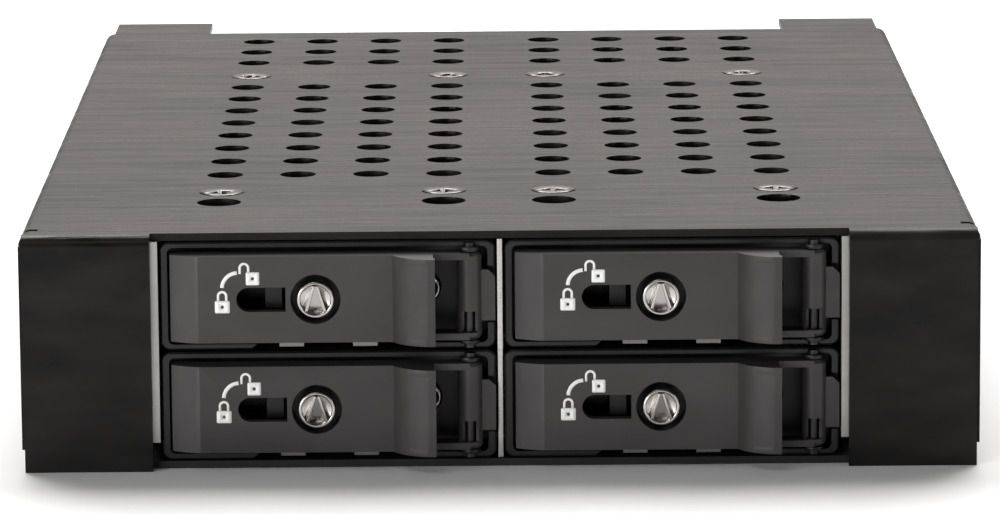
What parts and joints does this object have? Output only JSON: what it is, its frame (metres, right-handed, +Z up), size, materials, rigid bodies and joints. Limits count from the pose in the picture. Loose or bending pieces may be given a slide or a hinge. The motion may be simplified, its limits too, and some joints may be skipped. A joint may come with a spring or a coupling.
{
  "type": "hot swap drive cage",
  "caption": "Slim drive cage for a 3.5 inch bay: black folded sheet box with small trays in two columns, each with a hinged lever and a quarter turn lock.",
  "frame": {"origin": "centre of the base face, half way along the body, on the surface that the cage stands on", "axes": "+X right seen from the front, +Y to the rear (trays slide out along -Y), +Z up"},
  "size_m": [0.1016, 0.1587, 0.0254],
  "materials": {
    "cover_black": "black brushed anodised sheet",
    "base_black": "matt black coated sheet",
    "bare_sheet": "bare zinc plated sheet",
    "frame_black": "fine textured black",
    "lever_grey": "satin charcoal coating",
    "chrome": "polished chrome",
    "bright_screw": "bright zinc",
    "dark_screw": "black zinc",
    "steel_pin": "turned steel",
    "carrier_sheet": "plain anodised extrusion",
    "spreader_black": "black anodised fins",
    "thermal_pad": "soft silicone pad",
    "clip_plastic": "moulded clip",
    "circuit_board": "solder mask on laminate",
    "connector_black": "moulded connector body",
    "chip_black": "epoxy package"
  },
  "bodies": {
    "cage": {"outer_cover": "cover_black", "cover_screws": "bright_screw", "base_pan": "base_black", "base_screws": "dark_screw", "left_liner": "bare_sheet", "right_liner": "bare_sheet", "centre_divider": "bare_sheet", "bay_shelves": "bare_sheet", "backplane_board": "circuit_board", "backplane_screws": "bright_screw", "drive_sockets": "connector_black", "data_ports": "connector_black", "power_port": "connector_black", "board_chips": "chip_black", "rear_plate": "base_black"},
    "tray_lower_left": {"frame_lower_left": "frame_black", "frame_screws_lower_left": "bright_screw", "hinge_pin_lower_left": "steel_pin", "carrier_lower_left": "carrier_sheet", "heat_spreader_lower_left": "spreader_black", "thermal_pad_lower_left": "thermal_pad", "spreader_screws_lower_left": "dark_screw"},
    "lever_lower_left": {"lever_lower_left": "lever_grey"},
    "lock_lower_left": {"lock_head_lower_left": "chrome", "lock_pawl_lower_left": "steel_pin"},
    "clip_lower_left": {"drive_clip_lower_left": "clip_plastic"},
    "tray_lower_right": {"frame_lower_right": "frame_black", "frame_screws_lower_right": "bright_screw", "hinge_pin_lower_right": "steel_pin", "carrier_lower_right": "carrier_sheet", "heat_spreader_lower_right": "spreader_black", "thermal_pad_lower_right": "thermal_pad", "spreader_screws_lower_right": "dark_screw"},
    "lever_lower_right": {"lever_lower_right": "lever_grey"},
    "lock_lower_right": {"lock_head_lower_right": "chrome", "lock_pawl_lower_right": "steel_pin"},
    "clip_lower_right": {"drive_clip_lower_right": "clip_plastic"},
    "tray_upper_left": {"frame_upper_left": "frame_black", "frame_screws_upper_left": "bright_screw", "hinge_pin_upper_left": "steel_pin", "carrier_upper_left": "carrier_sheet", "heat_spreader_upper_left": "spreader_black", "thermal_pad_upper_left": "thermal_pad", "spreader_screws_upper_left": "dark_screw"},
    "lever_upper_left": {"lever_upper_left": "lever_grey"},
    "lock_upper_left": {"lock_head_upper_left": "chrome", "lock_pawl_upper_left": "steel_pin"},
    "clip_upper_left": {"drive_clip_upper_left": "clip_plastic"},
    "tray_upper_right": {"frame_upper_right": "frame_black", "frame_screws_upper_right": "bright_screw", "hinge_pin_upper_right": "steel_pin", "carrier_upper_right": "carrier_sheet", "heat_spreader_upper_right": "spreader_black", "thermal_pad_upper_right": "thermal_pad", "spreader_screws_upper_right": "dark_screw"},
    "lever_upper_right": {"lever_upper_right": "lever_grey"},
    "lock_upper_right": {"lock_head_upper_right": "chrome", "lock_pawl_upper_right": "steel_pin"},
    "clip_upper_right": {"drive_clip_upper_right": "clip_plastic"}
  },
  "joints": [
    {"name": "tray_slide_lower_left", "type": "slide", "parent": "cage", "child": "tray_lower_left", "axis": [0, -1, 0], "range_m": [0, 0.11]},
    {"name": "lever_hinge_lower_left", "type": "hinge", "parent": "tray_lower_left", "child": "lever_lower_left", "pos_m": [-0.0032, -0.0718, 0.00677], "axis": [0, 0, 1], "range_deg": [0, 70]},
    {"name": "lock_turn_lower_left", "type": "hinge", "parent": "lever_lower_left", "child": "lock_lower_left", "pos_m": [-0.01943, -0.0738, 0.00677], "axis": [0, -1, 0], "range_deg": [0, 90]},
    {"name": "clip_slide_lower_left", "type": "slide", "parent": "tray_lower_left", "child": "clip_lower_left", "axis": [0, 1, 0], "range_m": [0, 0.08]},
    {"name": "tray_slide_lower_right", "type": "slide", "parent": "cage", "child": "tray_lower_right", "axis": [0, -1, 0], "range_m": [0, 0.11]},
    {"name": "lever_hinge_lower_right", "type": "hinge", "parent": "tray_lower_right", "child": "lever_lower_right", "pos_m": [0.0332, -0.0718, 0.00677], "axis": [0, 0, 1], "range_deg": [0, 70]},
    {"name": "lock_turn_lower_right", "type": "hinge", "parent": "lever_lower_right", "child": "lock_lower_right", "pos_m": [0.01697, -0.0738, 0.00677], "axis": [0, -1, 0], "range_deg": [0, 90]},
    {"name": "clip_slide_lower_right", "type": "slide", "parent": "tray_lower_right", "child": "clip_lower_right", "axis": [0, 1, 0], "range_m": [0, 0.08]},
    {"name": "tray_slide_upper_left", "type": "slide", "parent": "cage", "child": "tray_upper_left", "axis": [0, -1, 0], "range_m": [0, 0.11]},
    {"name": "lever_hinge_upper_left", "type": "hinge", "parent": "tray_upper_left", "child": "lever_upper_left", "pos_m": [-0.0032, -0.0718, 0.01862], "axis": [0, 0, 1], "range_deg": [0, 70]},
    {"name": "lock_turn_upper_left", "type": "hinge", "parent": "lever_upper_left", "child": "lock_upper_left", "pos_m": [-0.01943, -0.0738, 0.01862], "axis": [0, -1, 0], "range_deg": [0, 90]},
    {"name": "clip_slide_upper_left", "type": "slide", "parent": "tray_upper_left", "child": "clip_upper_left", "axis": [0, 1, 0], "range_m": [0, 0.08]},
    {"name": "tray_slide_upper_right", "type": "slide", "parent": "cage", "child": "tray_upper_right", "axis": [0, -1, 0], "range_m": [0, 0.11]},
    {"name": "lever_hinge_upper_right", "type": "hinge", "parent": "tray_upper_right", "child": "lever_upper_right", "pos_m": [0.0332, -0.0718, 0.01862], "axis": [0, 0, 1], "range_deg": [0, 70]},
    {"name": "lock_turn_upper_right", "type": "hinge", "parent": "lever_upper_right", "child": "lock_upper_right", "pos_m": [0.01697, -0.0738, 0.01862], "axis": [0, -1, 0], "range_deg": [0, 90]},
    {"name": "clip_slide_upper_right", "type": "slide", "parent": "tray_upper_right", "child": "clip_upper_right", "axis": [0, 1, 0], "range_m": [0, 0.08]}
  ]
}
